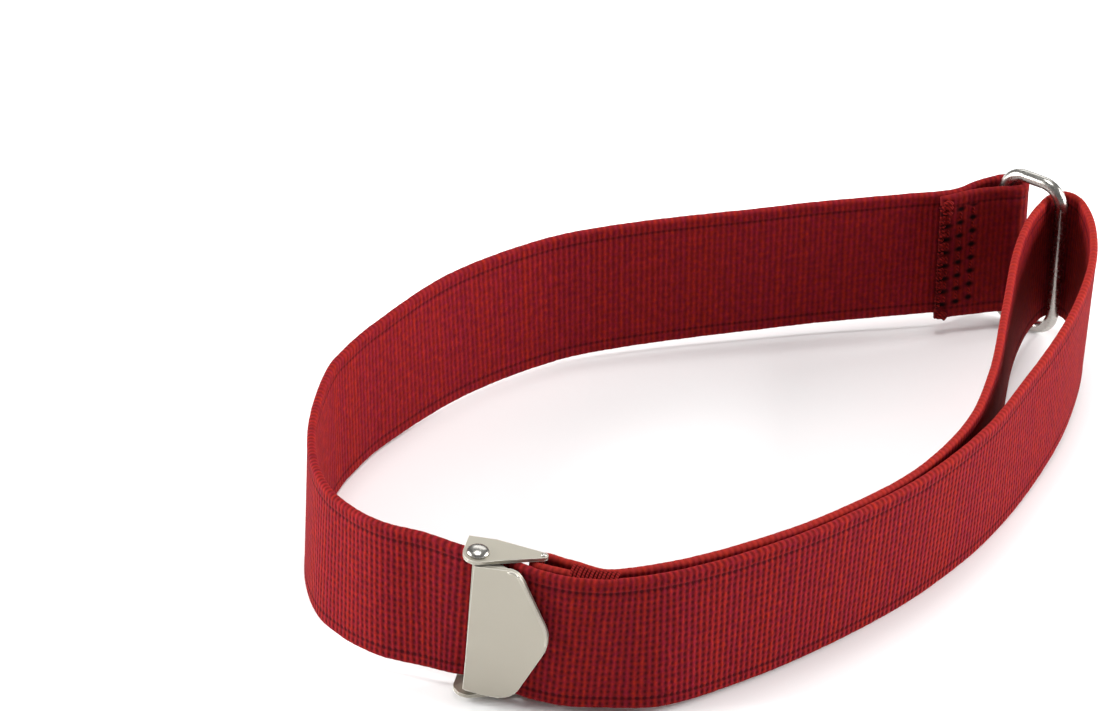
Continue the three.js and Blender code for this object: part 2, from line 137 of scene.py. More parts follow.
def ring_fold():
    slant = np.array([0, 4 * RING_FOLD_SPREAD])
    centre = ring_fold_bar + (RING_FOLD_REACH, -RING_FOLD_SPREAD)
    left = ring_fold_bar[0] - RING_FOLD_STRAIGHT
    fold = arc_stops(centre, RING_FOLD_RADIUS, -math.pi / 2, math.pi / 2, RING_FOLD_RISE, slant)
    for i, row in enumerate(fold):
        row[2] = slant * (1 - i / (len(fold) - 1))
    return [
        stop((56.1, 6.65), RING_FOLD_RISE - 0.25, slant * 0.3),
        stop((60.4, 7.9), RING_FOLD_RISE - 0.1, slant),
        stop((left, centre[1] - RING_FOLD_RADIUS), RING_FOLD_RISE, slant),
        *fold,
        stop((left, centre[1] + RING_FOLD_RADIUS), RING_FOLD_RISE),
        stop((61.3, 11.2), RING_FOLD_RISE - 0.1),
    ]


def outward_of(stops, before, after):
    """The direction to the right of the run at each stop."""
    points = [s[0] for s in [before, *stops, after]]
    runs = [points[i + 2] - points[i] for i in range(len(stops))]
    return [np.array([r[1], -r[0]]) / np.linalg.norm(r) for r in runs]


def band_route():
    sewn = ring_fold()
    nip = [stop(beside_clip(a, n), rise, clip_over) for a, n, rise in CLIP_SIDE]
    arm = [stop((x, y), rise) for x, y, rise, _ in ARM_SIDE]
    for row, out, (_, _, _, lean) in zip(arm, outward_of(arm, sewn[-1], nip[0]), ARM_SIDE):
        row[2] = out * lean
    turn = [stop((x, y), rise, (ox, oy)) for x, y, rise, ox, oy in TURN]
    outer = [stop(beside_clip(a, n), rise, clip_over) for a, n, rise, _ in FOLD_SIDE]
    outer += [stop((x, y), rise) for x, y, rise, _, _ in FRONT_SIDE]
    apart = [row[-1] for row in FOLD_SIDE + FRONT_SIDE]
    sides = outward_of(outer, nip[-1], turn[0])
    for row, out, table in zip(outer[len(FOLD_SIDE):], sides[len(FOLD_SIDE):], FRONT_SIDE):
        row[2] = out * table[3]
    returning = [
        stop(p - out * d, rise, over * (1 - min(max((d - 2) / 6, 0), 1)))
        for (p, rise, over), out, d in zip(outer, sides, apart)
    ]
    fold = arc_stops(beside_clip(*END_BAR), CLIP_FOLD_RADIUS, math.pi / 2 + CLIP_YAW,
                     3 * math.pi / 2 + CLIP_YAW, FOLD_SIDE[0][2], clip_over)
    tail = [stop(beside_clip(min(a, CLIP_TAIL_END), n + PLY_PITCH + CLIP_TAIL_GAP), rise, clip_over)
            for a, n, rise, _ in FOLD_SIDE[1:3]]
    return sewn + arm + nip + outer + turn + returning[:0:-1] + fold + tail


def smooth_through(points, even, per_span=40):
    """A Catmull-Rom curve through points: centripetal, or with the even pull that is given."""
    first, last = 2 * points[0] - points[1], 2 * points[-1] - points[-2]
    p = np.vstack([first, points, last])
    out = []
    for i in range(len(points) - 1):
        a, b, c, d = p[i:i + 4]
        if even is None:
            ab, bc, cd = (max(np.linalg.norm(v) ** 0.5, 1e-4) for v in (b - a, c - b, d - c))
            start = bc * ((b - a) / ab - (c - a) / (ab + bc) + (c - b) / bc)
            end = bc * ((c - b) / bc - (d - b) / (bc + cd) + (d - c) / cd)
        else:
            start, end = even * (c - a), even * (d - b)
        t = np.linspace(0, 1, per_span, endpoint=False)[:, None]
        out.append(b + start * t + (3 * (c - b) - 2 * start - end) * t ** 2
                   + (2 * (b - c) + start + end) * t ** 3)
    return np.vstack(out + [points[-1:]])


route = band_route()
plan = smooth_through(np.array([p for p, _, _ in route]), None)
stand = smooth_through(np.array([(over[0], over[1], rise) for _, rise, over in route]), 0.3)
run_length = np.concatenate([[0], np.cumsum(np.linalg.norm(np.diff(plan, axis=0), axis=1))])
BAND_LENGTH = float(run_length[-1])
station_at = np.linspace(0, BAND_LENGTH, round(BAND_LENGTH / STATION) + 1)


def band_frames(at):
    """Foot, side and up of the strip at these lengths along it, in mm."""
    xy = np.stack([np.interp(at, run_length, plan[:, k]) for k in (0, 1)], 1)
    ahead = np.stack([np.interp(at + 0.05, run_length, plan[:, k]) for k in (0, 1)], 1)
    behind = np.stack([np.interp(at - 0.05, run_length, plan[:, k]) for k in (0, 1)], 1)
    over_rise = np.stack([np.interp(at, run_length, stand[:, k]) for k in (0, 1, 2)], 1)
    over = over_rise[:, :2]
    reach = np.linalg.norm(over, axis=1)
    lift = (BAND_THICKNESS / 2 - LEAN_SINK) * reach / BAND_WIDTH
    foot = np.column_stack([xy - over / 2, np.maximum(0, over_rise[:, 2]) + lift])
    up = np.column_stack([over, np.sqrt(BAND_WIDTH ** 2 - reach ** 2)]) / BAND_WIDTH
    run = np.column_stack([ahead - behind, np.zeros(len(xy))])
    side = np.cross(run, up)
    side /= np.linalg.norm(side, axis=1)[:, None]
    return foot, side, up


# The selvedge is a tube beside the flat weave, with a groove between them.
SELVEDGE = 1.75
SELVEDGE_GROOVE = 0.07
SELVEDGE_SWELL = 0.03


def band_outline():
    """The strip's section as (across, up, face). Face is 1 on the outer side and -1 on the inner one."""
    half = BAND_THICKNESS / 2
    flank = [0.95, 1.3, 1.55, SELVEDGE, 1.95, 2.3]
    heights = [half, *flank, *np.arange(3.5, 17, 1.3), *[BAND_WIDTH - h for h in reversed(flank)],
               BAND_WIDTH - half]
    edge = [min(h, BAND_WIDTH - h) for h in heights]
    dip = [SELVEDGE_GROOVE * math.exp(-((e - SELVEDGE) / 0.17) ** 2)
           + (SELVEDGE_SWELL if e > SELVEDGE else 0) for e in edge]
    outer = [(half - g, h, 1) for h, g in zip(heights, dip)]
    inner = [(-half + g, h, -1) for h, g in zip(heights, dip)]
    rounds = [math.radians(a) for a in range(22, 180, 22)]
    top = [(half * math.cos(a), BAND_WIDTH - half + half * math.sin(a), math.cos(a)) for a in rounds]
    bottom = [(-half * math.cos(a), half - half * math.sin(a), -math.cos(a)) for a in rounds]
    return outer + top + inner[::-1] + bottom


def swept_mesh(name, sections, closed=False, weave=None):
    """Skin through rows of points in mm, with a cap at each end of an open row."""
    rows, sides = len(sections), len(sections[0])
    verts = np.asarray(sections, float).reshape(-1, 3) * MM
    faces = []
    for i in range(rows if closed else rows - 1):
        here, there = i * sides, ((i + 1) % rows) * sides
        for k in range(sides):
            n = (k + 1) % sides
            faces.append((here + k, there + k, there + n, here + n))
    if not closed:
        faces += [tuple(range(sides)), tuple(range((rows - 1) * sides, rows * sides))[::-1]]
    mesh = bpy.data.meshes.new(name)
    mesh.from_pydata(verts.tolist(), [], faces)
    if weave is not None:
        mesh.attributes.new("weave", "FLOAT_VECTOR", "POINT").data.foreach_set("vector", weave.ravel())
    mesh.shade_smooth()
    bm = bmesh.new()
    bm.from_mesh(mesh)
    bmesh.ops.recalc_face_normals(bm, faces=bm.faces)
    bm.to_mesh(mesh)
    bm.free()
    piece = bpy.data.objects.new(name, mesh)
    bpy.context.scene.collection.objects.link(piece)
    return piece


# Small unevenness that the loom and the sewing leave: the selvedges wander a little, the ribs make the
# rolled edges bumpy, and the cut end at the ring is pressed thin and ragged.
RIB_BUMP = 0.022
SELVEDGE_WANDER = 0.03
END_PRESSED_SHARE = 0.35
END_PRESSED_LENGTH = 0.9
END_FRAY = 0.6
random.seed(7)
foot, side, up = band_frames(station_at)
outline = band_outline()
bumps = (RIB_BUMP * np.cos(math.tau * station_at / RIB_PITCH)
         + SELVEDGE_WANDER * np.sin(station_at * 1.9) * np.sin(station_at * 0.73))
thin = 1 - END_PRESSED_SHARE * np.exp(-(station_at / END_PRESSED_LENGTH) ** 2)
run_dir = np.cross(up, side)
sections = []
for a, h, _ in outline:
    edge = min(h, BAND_WIDTH - h)
    rolled = math.exp(-(edge / 0.9) ** 2)
    toward = 1 if h > BAND_WIDTH / 2 else -1
    ragged = END_FRAY + 0.2 * math.sin(h * 2.9) + 0.14 * math.sin(h * 7.7 + 1)
    pull = np.exp(-(station_at / END_FRAY) ** 2) * ragged
    sections.append(foot + side * (a * thin)[:, None] + up * (h + toward * rolled * bumps * 0.8)[:, None]
                    - run_dir * pull[:, None])
sections = np.stack(sections, 1)
sections[:, :, 2] = np.maximum(sections[:, :, 2], 0)
# The CAD part stands with its plan box centred. The plain strip's own box gives that shift: its widest
# faces run from one edge bevel to the other.
EDGE_BEVEL = 0.3
low, high = (np.array(corner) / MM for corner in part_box("elastic_band"))
plain = np.stack([foot + side * a + up * h for a in (BAND_THICKNESS / 2, -BAND_THICKNESS / 2)
                  for h in (EDGE_BEVEL, BAND_WIDTH - EDGE_BEVEL)]).reshape(-1, 3)
plan_shift = (low + high)[:2] / 2 - (plain.max(0) + plain.min(0))[:2] / 2
sections[:, :, :2] += plan_shift
weave = np.stack([
    np.repeat(station_at, len(outline)),
    np.tile([h for _, h, _ in outline], len(station_at)),
    np.tile([f for _, _, f in outline], len(station_at)),
], 1).astype(np.float32)
band = swept_mesh("woven_band", sections, weave=weave)


def linear(code):
    """An sRGB hex colour as linear RGBA."""
    parts = [int(code[i:i + 2], 16) / 255 for i in (1, 3, 5)]
    return (*[c / 12.92 if c <= 0.04045 else ((c + 0.055) / 1.055) ** 2.4 for c in parts], 1)


def node(tree, kind, inputs=None, output=0, **settings):
    """Adds a node with its settings. An input is a value or another node's output. Returns one output."""
    made = tree.nodes.new(kind)
    for name, value in settings.items():
        setattr(made, name, value)
    for socket, value in (inputs or {}).items():
        if isinstance(value, bpy.types.NodeSocket):
            tree.links.new(value, made.inputs[socket])
        else:
            made.inputs[socket].default_value = value
    return made.outputs[output] if made.outputs else made


def new_material(name):
    material = bpy.data.materials.new(name)
    material.use_nodes = True
    tree = material.node_tree
    tree.nodes.clear()
    shader = node(tree, "ShaderNodeBsdfPrincipled")
    node(tree, "ShaderNodeOutputMaterial", {"Surface": shader})
    return material, tree, shader.node


# Woven elastic is matt. Upright ribs 0.82 mm apart are crossed by rows 0.95 mm apart, so the outer
# face shows dark dots between red cords, and the inner face and the sewn flap only soft ribs. The dyed
# yarns vary from a bluish to an orange red, the rolled edges are painted a brighter orange, a little for
# their own yarn and more as a painted highlight along the outer half, and loose fibres give a faint orange
# sheen.
ROW_PITCH = 0.95
WAVE_PERIOD = math.pi / 10
elastic, tree, surface = new_material("woven_elastic_red")
along, across, face = node(tree, "ShaderNodeSeparateXYZ", {
    0: node(tree, "ShaderNodeAttribute", output="Vector", attribute_name="weave")}).node.outputs
flat_at = node(tree, "ShaderNodeCombineXYZ", {0: along, 1: across})
ribs = node(tree, "ShaderNodeTexWave", {
    "Vector": flat_at, "Scale": WAVE_PERIOD / RIB_PITCH, "Distortion": 1.3, "Detail": 2.0,
    "Detail Scale": 1.6, "Detail Roughness": 0.6,
}, output="Fac", wave_type="BANDS", bands_direction="X")
rows = node(tree, "ShaderNodeTexWave", {
    "Vector": flat_at, "Scale": WAVE_PERIOD / ROW_PITCH, "Distortion": 1.3, "Detail": 2.0,
    "Detail Scale": 1.5, "Detail Roughness": 0.6,
}, output="Fac", wave_type="BANDS", bands_direction="Y")
from_middle = node(tree, "ShaderNodeMath", {0: across, 1: BAND_WIDTH / 2}, operation="SUBTRACT")
from_middle = node(tree, "ShaderNodeMath", {0: from_middle}, operation="ABSOLUTE")
rim = node(tree, "ShaderNodeMapRange", {0: from_middle, 1: 9.3, 2: 9.85},
           interpolation_type="SMOOTHSTEP")
outer_face = node(tree, "ShaderNodeMapRange", {0: face, 1: -0.5, 2: 0.5})
FLAP_END, FLAP_FADE = 14.0, 6.0
past_flap = node(tree, "ShaderNodeMapRange", {0: along, 1: FLAP_END, 2: FLAP_END + FLAP_FADE})
outer_face = node(tree, "ShaderNodeMath", {0: outer_face, 1: past_flap}, operation="MULTIPLY")
rib_share = node(tree, "ShaderNodeMapRange", {0: outer_face, 3: 0.38, 4: 0.5})
row_share = node(tree, "ShaderNodeMapRange", {0: outer_face, 3: 0.16, 4: 0.46})
gap = node(tree, "ShaderNodeMath", {0: 1.0, 1: ribs}, operation="SUBTRACT")
dot = node(tree, "ShaderNodeMath", {0: 1.0, 1: rows}, operation="SUBTRACT")
dot = node(tree, "ShaderNodeMath", {0: dot, 1: row_share}, operation="MULTIPLY")
dark = node(tree, "ShaderNodeMath", {0: gap, 1: node(
    tree, "ShaderNodeMath", {0: rib_share, 1: dot}, operation="ADD")}, operation="MULTIPLY")
calm_rim = node(tree, "ShaderNodeMapRange", {0: rim, 3: 1.0, 4: 0.8})
dark = node(tree, "ShaderNodeMath", {0: dark, 1: calm_rim}, operation="MULTIPLY")
line = node(tree, "ShaderNodeMath", {0: from_middle, 1: BAND_WIDTH / 2 - SELVEDGE}, operation="SUBTRACT")
line = node(tree, "ShaderNodeMath", {0: line}, operation="ABSOLUTE")
line = node(tree, "ShaderNodeMapRange", {0: line, 1: 0.06, 2: 0.36, 3: 0.4, 4: 0.0},
            interpolation_type="SMOOTHSTEP")
dark = node(tree, "ShaderNodeMath", {0: dark, 1: line}, operation="ADD", use_clamp=True)

# The needle pulls the yarns apart: three columns of holes near the cut end at the ring, flat in the mesh;
# the shade inside them is painted nearly black.
HOLE_PITCH = 2.13
HOLE_HALF_WIDTH, HOLE_HALF_HEIGHT = 0.82, 0.56
# each column's place along the strip, and how far its holes are shifted across it
HOLE_COLUMNS = [(0.4, 0.25), (2.2, 0.55), (4.15, 1.0)]
holes = None
for column, offset in HOLE_COLUMNS:
    wide = node(tree, "ShaderNodeMath", {0: along, 1: column}, operation="SUBTRACT")
    wide = node(tree, "ShaderNodeMath", {0: wide, 1: HOLE_HALF_WIDTH}, operation="DIVIDE")
    tall = node(tree, "ShaderNodeMath", {0: across, 1: offset}, operation="SUBTRACT")
    tall = node(tree, "ShaderNodeMath", {0: tall, 1: HOLE_PITCH / 2}, operation="PINGPONG")
    tall = node(tree, "ShaderNodeMath", {0: tall, 1: HOLE_HALF_HEIGHT}, operation="DIVIDE")
    spot = node(tree, "ShaderNodeVectorMath", {0: node(tree, "ShaderNodeCombineXYZ", {0: wide, 1: tall})},
                output="Value", operation="LENGTH")
    spot = node(tree, "ShaderNodeMapRange", {0: spot, 1: 0.25, 2: 1.2}, interpolation_type="SMOOTHSTEP")
    if holes is None:
        holes = spot
    else:
        holes = node(tree, "ShaderNodeMath", {0: holes, 1: spot}, operation="MULTIPLY")
whole = node(tree, "ShaderNodeMapRange", {0: from_middle, 1: 7.7, 2: 8.3}, interpolation_type="SMOOTHSTEP")
holes = node(tree, "ShaderNodeMath", {0: holes, 1: whole}, operation="MAXIMUM")

rib_number = node(tree, "ShaderNodeMath", {0: along, 1: RIB_PITCH}, operation="DIVIDE")
rib_number = node(tree, "ShaderNodeMath", {0: rib_number}, operation="FLOOR")
rib_tint = node(tree, "ShaderNodeTexWhiteNoise", {"W": rib_number}, noise_dimensions="1D")
yarn_noise = node(tree, "ShaderNodeTexNoise", {
    "Vector": flat_at, "Scale": 1.3, "Detail": 3.0, "Roughness": 0.65})
tint = node(tree, "ShaderNodeMath", {0: rib_tint, 1: 0.14, 2: yarn_noise}, operation="MULTIPLY_ADD")
tint = node(tree, "ShaderNodeMapRange", {0: tint, 1: 0.42, 2: 0.74})
dye = node(tree, "ShaderNodeMix", {0: tint, 6: linear("#7c1626"), 7: linear("#921f14")}, 2,
           data_type="RGBA")
shade_noise = node(tree, "ShaderNodeTexNoise", {
    "Vector": flat_at, "Scale": 0.7, "Detail": 4.0, "Roughness": 0.7})
shade = node(tree, "ShaderNodeMapRange", {0: shade_noise, 1: 0.3, 2: 0.7, 3: 0.74, 4: 1.26})
# Painted shade: the sewn flap near the ring is painted darker, for the shade it lies in.
flap_painted_shade = node(tree, "ShaderNodeMapRange", {0: past_flap, 3: 0.76, 4: 1.0})
shade = node(tree, "ShaderNodeMath", {0: shade, 1: flap_painted_shade}, operation="MULTIPLY")
yarn = node(tree, "ShaderNodeVectorMath", {0: dye, 3: shade}, operation="SCALE")
cloth = node(tree, "ShaderNodeMix", {0: dark, 6: yarn, 7: linear("#400a10")}, 2, data_type="RGBA")
# Along the outer half of the strip, from the clip to the ring and back, the rolled edges are painted a
# brighter orange: a painted highlight for the light from the right. Elsewhere they get a little, for their
# own yarn.
rim_highlight_stretch = node(tree, "ShaderNodeMapRange", {0: along, 1: 215.0, 2: 290.0, 3: 0.08, 4: 0.42})
rim_orange_and_highlight = node(tree, "ShaderNodeMath", {0: rim, 1: rim_highlight_stretch}, operation="MULTIPLY")
cloth = node(tree, "ShaderNodeMix", {0: rim_orange_and_highlight, 6: cloth, 7: linear("#a83226")}, 2, data_type="RGBA")
# Painted shade: the holes are painted nearly black.
cloth = node(tree, "ShaderNodeMix", {0: holes, 6: linear("#120305"), 7: cloth}, 2, data_type="RGBA")
tree.links.new(cloth, surface.inputs["Base Color"])
fuzz = node(tree, "ShaderNodeTexNoise", {"Vector": flat_at, "Scale": 5.0, "Detail": 2.0})
height = node(tree, "ShaderNodeMath", {0: dark, 1: -1.0, 2: 1.0}, operation="MULTIPLY_ADD")
height = node(tree, "ShaderNodeMath", {0: fuzz, 1: 0.35, 2: height}, operation="MULTIPLY_ADD")
height = node(tree, "ShaderNodeMath", {0: height, 1: holes}, operation="MULTIPLY")
relief = node(tree, "ShaderNodeBump", {"Height": height, "Distance": 0.12 * MM})
tree.links.new(relief, surface.inputs["Normal"])
surface.inputs["Roughness"].default_value = 0.85
surface.inputs["Sheen Weight"].default_value = 0.08
surface.inputs["Sheen Roughness"].default_value = 0.35
surface.inputs["Sheen Tint"].default_value = linear("#e0503a")
surface.inputs["Specular IOR Level"].default_value = 0.06

band.data.materials.append(elastic)
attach(band, "band")
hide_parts("elastic_band")


# Sewing at the ring
# Red polyester thread holds the folded end down in three rows of lock stitches, each stitch over the
# ribs between two needle holes. Short turns of it close the cut end, with knots at its two corners.
THREAD = 0.2
STITCH_SINK = 0.1


def on_band(at, across, lift, along=0.0):
    """Point in mm at a length along the strip and a height across it, lifted off its outer face."""
    foot, side, up = band_frames(np.array([at]))
    ahead = np.cross(up[0], side[0])
    point = foot[0] + up[0] * across + side[0] * (BAND_THICKNESS / 2 + lift) + ahead * along
    return point + np.array([*plan_shift, 0])


def thread_sections(points, radius, sides=8):
    """Rings of points round a short line, drawn in at both ends."""
    points = np.array(points)
    runs = np.gradient(points, axis=0)
    rows = []
    for i, (p, run) in enumerate(zip(points, runs)):
        run = Vector(run).normalized()
        across = run.orthogonal().normalized()
        other = run.cross(across)
        thin = radius * (0.4 if i in (0, len(points) - 1) else 1)
        rows.append([p + np.array(across * math.cos(a) + other * math.sin(a)) * thin
                     for a in np.linspace(0, math.tau, sides, endpoint=False)])
    return rows


def joined(name, parts, material, body):
    """One object made of several swept parts."""
    bm = bmesh.new()
    for part in parts:
        bm.from_mesh(part.data)
        bpy.data.objects.remove(part)
    mesh = bpy.data.meshes.new(name)
    bm.to_mesh(mesh)
    bm.free()
    mesh.shade_smooth()
    mesh.materials.append(material)
    piece = bpy.data.objects.new(name, mesh)
    bpy.context.scene.collection.objects.link(piece)
    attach(piece, body)
    return piece


stitches = []
for column, offset in HOLE_COLUMNS:
    start = offset
    while start < 1.6:
        start += HOLE_PITCH
    while start + HOLE_PITCH < BAND_WIDTH - 1.4:
        sway = random.uniform(-0.15, 0.15)
        line = [on_band(column + sway * (2 * t - 1), start + HOLE_PITCH * t,
                        STITCH_SINK * (math.sin(math.pi * t) - 1)) for t in np.linspace(0.24, 0.76, 7)]
        stitches.append(swept_mesh("stitch", thread_sections(line, THREAD)))
        start += HOLE_PITCH
# each knot's height and thickness
KNOTS = [(19.0, 0.42), (18.3, 0.46), (17.4, 0.36), (0.9, 0.4), (0.3, 0.36)]
TURNS = 24
for k in range(TURNS):
    height = 0.6 + k * (BAND_WIDTH - 1.4) / TURNS + random.uniform(-0.2, 0.2)
    reach = random.uniform(0.5, 0.95)
    line = [on_band(0.02, height, -0.48, -0.85)]
    line += [on_band(0.02, height + 0.3 * t, 0.02 + 0.12 * math.sin(math.pi * t), -0.85 + reach * t)
             for t in np.linspace(0, 1, 6)[1:]]
    stitches.append(swept_mesh("whip", thread_sections(line, random.uniform(0.14, 0.24))))
for height, size in KNOTS:
    line = [on_band(0.05, height, 0.0, -0.6), on_band(0.1, height + 0.25, 0.16),
            on_band(0.5, height - 0.1, 0.14), on_band(0.9, height, 0.0)]
    stitches.append(swept_mesh("knot", thread_sections(line, size)))

# Spun thread is matt and a little darker than the cloth, and its twist shows as fine slanting lines.
TWIST_PITCH = 0.3
thread, tree, surface = new_material("polyester_thread_red")
twist_at = node(tree, "ShaderNodeTexCoord", output="Object")
twist = node(tree, "ShaderNodeTexWave", {
    "Vector": twist_at, "Scale": WAVE_PERIOD / (TWIST_PITCH * MM), "Distortion": 1.0,
}, output="Fac", wave_type="BANDS", bands_direction="DIAGONAL")
shade = node(tree, "ShaderNodeMix", {0: twist, 6: linear("#4e0c10"), 7: linear("#841a16")}, 2,
             data_type="RGBA")
tree.links.new(shade, surface.inputs["Base Color"])
relief = node(tree, "ShaderNodeBump", {"Height": twist, "Distance": 0.03 * MM})
tree.links.new(relief, surface.inputs["Normal"])
surface.inputs["Roughness"].default_value = 0.75
surface.inputs["Specular IOR Level"].default_value = 0.05
ring_sewing = joined("ring_stitches", stitches, thread, "band")


# Sewing at the clip
# The free end of the strip lies between the plies beside the clip. Slanting stitches of the same
# thread close the plies over it at the upper edge.
WHIPS = 12
WHIP_PITCH = 0.5
WHIP_SAG = 0.45
whips = []
for k in range(WHIPS):
    along = CLIP_TAIL_END - 0.6 + WHIP_PITCH * k
    near = beside_clip(along, -1.75 + 0.03 * k)
    far = beside_clip(along + 0.45, max(1.0, 1.75 - 0.16 * k))
    shift = plan_shift + clip_over * 0.5
    crest = BAND_WIDTH + 0.88 - 0.02 * k + random.uniform(-0.06, 0.06)
    line = [(*(near + (far - near) * t + shift), crest - WHIP_SAG * (2 * t - 1) ** 2)
            for t in np.linspace(0, 1, 7)]
    whips.append(swept_mesh("whip", thread_sections(line, random.uniform(0.17, 0.23))))
clip_sewing = joined("clip_stitches", whips, thread, "band")


# Wire ring
# Steel wire 1.8 mm thick, bent to a rectangle with rounded corners and butted, then bright plated.
# The sewn fold holds its left bar and the strip turns round its right one.
RING_HEIGHT = 23.6
RING_CORNER = 3.2
RING_FLOOR_GAP = 0.02
CORNER_STEPS = 12
WIRE_SIDES = 32


def ring_sections():
    half_span, half_rise = RING_BAR_SPACING / 2 - RING_CORNER, RING_HEIGHT / 2 - RING_CORNER
    corners = [(half_span, half_rise, 0), (-half_span, half_rise, 90), (-half_span, -half_rise, 180),
               (half_span, -half_rise, 270)]
    rows = []
    for x, z, start in corners:
        for step in range(CORNER_STEPS + 1):
            turn = math.radians(start + 90 * step / CORNER_STEPS)
            out = np.array([math.cos(turn), 0, math.sin(turn)])
            centre = np.array([x, 0, z]) + out * RING_CORNER
            rows.append([centre + RING_WIRE / 2 * (out * math.cos(a) + np.array([0, math.sin(a), 0]))
                         for a in np.linspace(0, math.tau, WIRE_SIDES, endpoint=False)])
    return rows


ring = swept_mesh("plated_ring", ring_sections(), closed=True)
ring_height = (RING_HEIGHT + RING_WIRE) / 2 + RING_FLOOR_GAP
ring.matrix_world = (Matrix.Translation((*(MM * (RING_CENTRE + plan_shift)), MM * ring_height))
                     @ Matrix.Rotation(RING_YAW, 4, "Z"))

# Bright nickel plate over drawn wire: soft bright highlights, with faint draw marks and a light haze.
bright, tree, surface = new_material("bright_plated_steel")
place = node(tree, "ShaderNodeTexCoord", output="Object")
marks = node(tree, "ShaderNodeTexNoise", {
    "Vector": place, "Scale": 900.0, "Detail": 4.0, "Roughness": 0.6})
gloss = node(tree, "ShaderNodeMapRange", {0: marks, 1: 0.3, 2: 0.7, 3: 0.2, 4: 0.34})
tree.links.new(gloss, surface.inputs["Roughness"])
stain = node(tree, "ShaderNodeTexNoise", {"Vector": place, "Scale": 260.0, "Detail": 3.0})
plating = node(tree, "ShaderNodeMix", {0: stain, 6: linear("#a9a6a0"), 7: linear("#c6c3bd")}, 2,
               data_type="RGBA")
tree.links.new(plating, surface.inputs["Base Color"])
relief = node(tree, "ShaderNodeBump", {"Height": marks, "Distance": 0.01 * MM, "Strength": 0.4})
tree.links.new(relief, surface.inputs["Normal"])
surface.inputs["Metallic"].default_value = 1.0
ring.data.materials.append(bright)
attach(ring, "band")
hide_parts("ring")


# Clip frame
# The clip's fixed part, pressed from nickel-plated steel sheet: an ear above and below the strip, a
# back plate that joins them, and a wire end bar. The strip's end is folded round the bar.
SHEET = 0.5
EAR_INNER = 10.25
EAR_RADIUS = 1.85
EAR_BACK = 3.1
ANVIL_START, ANVIL_END = -1.2, 1.9
EAR_TIP_RADIUS = 0.55
clip_place = (Matrix.Translation((*(MM * (CLIP_PIVOT + plan_shift)), MM * CLIP_HEIGHT))
              @ Matrix.Rotation(CLIP_YAW, 4, "Z") @ Matrix.Rotation(CLIP_LEAN, 4, "Y")
              @ Matrix.Rotation(CLIP_TILT, 4, "X"))


def arc_points(x, y, radius, start, end, steps):
    turns = [math.radians(start + (end - start) * i / steps) for i in range(steps + 1)]
    return [(x + radius * math.cos(t), y + radius * math.sin(t)) for t in turns]


def pressed(bm, outline, low, high):
    """Sheet metal of an outline in mm, from one height to another, added to a mesh."""
    under = [bm.verts.new(Vector((x, y, low)) * MM) for x, y in outline]
    over = [bm.verts.new(Vector((x, y, high)) * MM) for x, y in outline]
    flats = [bm.faces.new(under[::-1]), bm.faces.new(over)]
    for i in range(len(outline)):
        k = (i + 1) % len(outline)
        bm.faces.new((under[i], under[k], over[k], over[i]))
    return flats


def metal_piece(name, bm, rounding, material, body, slot, *nodes):
    """Finishes a piece of the clip: edges rounded by the given mm, set in place, with its material."""
    bmesh.ops.recalc_face_normals(bm, faces=bm.faces)
    mesh = bpy.data.meshes.new(name)
    bm.to_mesh(mesh)
    bm.free()
    piece = bpy.data.objects.new(name, mesh)
    bpy.context.scene.collection.objects.link(piece)
    if rounding:
        bevel = piece.modifiers.new("rounded_edges", "BEVEL")
        bevel.width = rounding * MM
        bevel.segments = 3
        bevel.limit_method = "ANGLE"
        bevel.angle_limit = math.radians(30)
        piece.modifiers.new("even_shading", "WEIGHTED_NORMAL")
    mesh.shade_smooth()
    mesh.materials.append(material)
    piece.matrix_world = clip_place
    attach(piece, body)
    if nodes:
        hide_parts(*nodes)
    return piece


ear = [
    *arc_points(0, 0, EAR_RADIUS, 180, 295, 16),
    (3.25, -0.8),
    *arc_points(*END_BAR, EAR_TIP_RADIUS, -70, 60, 8),
    (6.3, 2.2), (ANVIL_END, EAR_BACK), (-1.6, EAR_BACK),
]
bm = bmesh.new()
# A ring of vertices just inside a flat's edge keeps the painted highlight of the edge off the flat.
HIGHLIGHT_EDGE_INSET = 0.3
flats = pressed(bm, ear, EAR_INNER, EAR_INNER + SHEET) + pressed(bm, ear, -EAR_INNER - SHEET, -EAR_INNER)
bmesh.ops.inset_individual(bm, faces=flats, thickness=HIGHLIGHT_EDGE_INSET * MM, use_even_offset=True)
pressed(bm, [(ANVIL_START, EAR_BACK - SHEET), (ANVIL_END, EAR_BACK - SHEET), (ANVIL_END, EAR_BACK),
             (ANVIL_START, EAR_BACK)], -EAR_INNER - SHEET / 2, EAR_INNER + SHEET / 2)

# Satin nickel over rolled steel: warm light grey with soft broad highlights, a faint mottle from the
# rolling, and edges painted brighter as a highlight.
satin, tree, surface = new_material("satin_nickel_plated_steel")
place = node(tree, "ShaderNodeTexCoord", output="Object")
mottle = node(tree, "ShaderNodeTexNoise", {
    "Vector": place, "Scale": 420.0, "Detail": 5.0, "Roughness": 0.62})
grain = node(tree, "ShaderNodeTexNoise", {"Vector": place, "Scale": 2600.0, "Detail": 3.0})
tone = node(tree, "ShaderNodeMix", {0: mottle, 6: linear("#a5a094"), 7: linear("#b5b0a4")}, 2,
            data_type="RGBA")
